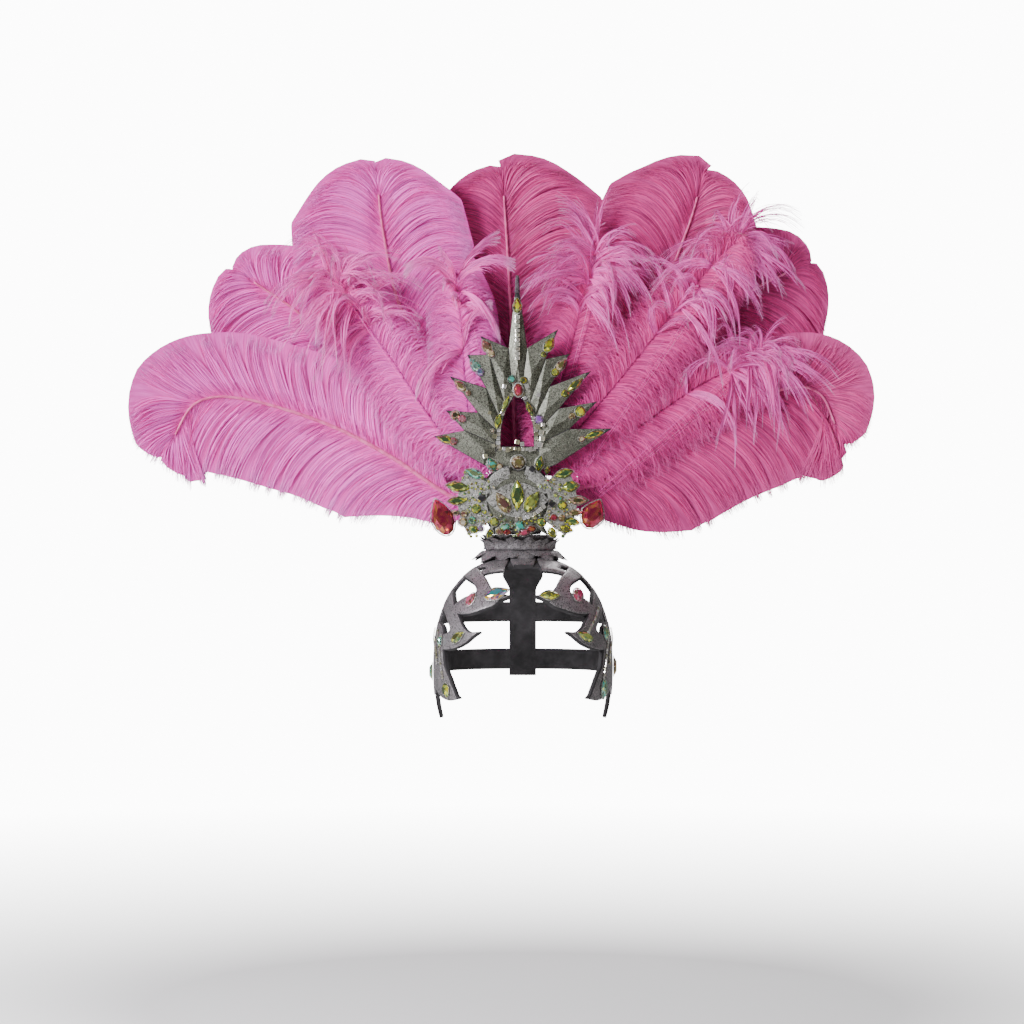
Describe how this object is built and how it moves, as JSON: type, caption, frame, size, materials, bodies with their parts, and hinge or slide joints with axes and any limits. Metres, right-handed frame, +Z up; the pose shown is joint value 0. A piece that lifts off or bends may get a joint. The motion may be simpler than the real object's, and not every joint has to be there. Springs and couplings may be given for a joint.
{
  "type": "carnival feather headdress",
  "caption": "Pink ostrich plume headdress on an open-work silver glitter skull cap, with a spiked crest set with faceted stones and mirror tiles.",
  "frame": {"origin": "inside of the crown plate on the head's middle line, where the top of the head touches it", "axes": "+X towards the right seen from the front, +Y towards the back of the head, +Z up"},
  "size_m": [0.6901, 0.1936, 0.5309],
  "materials": {
    "silver_foam": "silver grey glitter on foam",
    "black_foam": "matt foam",
    "mirror_tile": "small glass mirror tiles",
    "stone": "faceted, foil backed, iridescent",
    "red_stone": "faceted, foil backed, red",
    "pink_plume": "dyed ostrich feather"
  },
  "bodies": {
    "root": {"crown_plate": "silver_foam", "back_frame": "silver_foam", "side_frame_left": "silver_foam", "side_frame_right": "silver_foam", "neck": "silver_foam", "leaf_collar": "silver_foam", "crest_plate": "silver_foam", "rosette_plate": "silver_foam", "feather_holder": "black_foam", "arch_tiles": "mirror_tile", "temple_tiles_left": "mirror_tile", "temple_tiles_right": "mirror_tile", "ray_stones_left": "stone", "ray_stones_right": "stone", "cap_stone_left_1": "stone", "cap_stone_left_2": "stone", "cap_stone_left_3": "stone", "cap_stone_left_4": "stone", "cap_stone_left_5": "stone", "cap_stone_left_6": "stone", "cap_stone_right_1": "stone", "cap_stone_right_2": "stone", "cap_stone_right_3": "stone", "cap_stone_right_4": "stone", "cap_stone_right_5": "stone", "cap_stone_right_6": "stone", "spike_stone_01": "stone", "spike_stone_02": "stone", "spike_stone_03": "stone", "spike_stone_04": "stone", "spike_stone_05": "stone", "spike_stone_06": "stone", "spike_stone_07": "stone", "spike_stone_08": "stone", "spike_stone_09": "stone", "spike_stone_10": "stone", "spike_stone_11": "stone", "arch_stone_top": "stone", "arch_stone_foot": "stone", "arch_stone_left": "stone", "arch_stone_right": "stone", "fan_stone_left": "stone", "fan_stone_middle": "stone", "fan_stone_right": "stone", "pendant_left": "red_stone", "pendant_right": "red_stone", "plume_centre": "pink_plume", "plume_mid_left": "pink_plume", "plume_mid_right": "pink_plume", "plume_high_left": "pink_plume", "plume_high_right": "pink_plume", "plume_low_left": "pink_plume", "plume_low_right": "pink_plume", "tuft_left": "pink_plume", "tuft_top_right": "pink_plume", "tuft_low_right": "pink_plume", "tuft_inner_left": "pink_plume", "tuft_far_right": "pink_plume"}
  },
  "joints": []
}
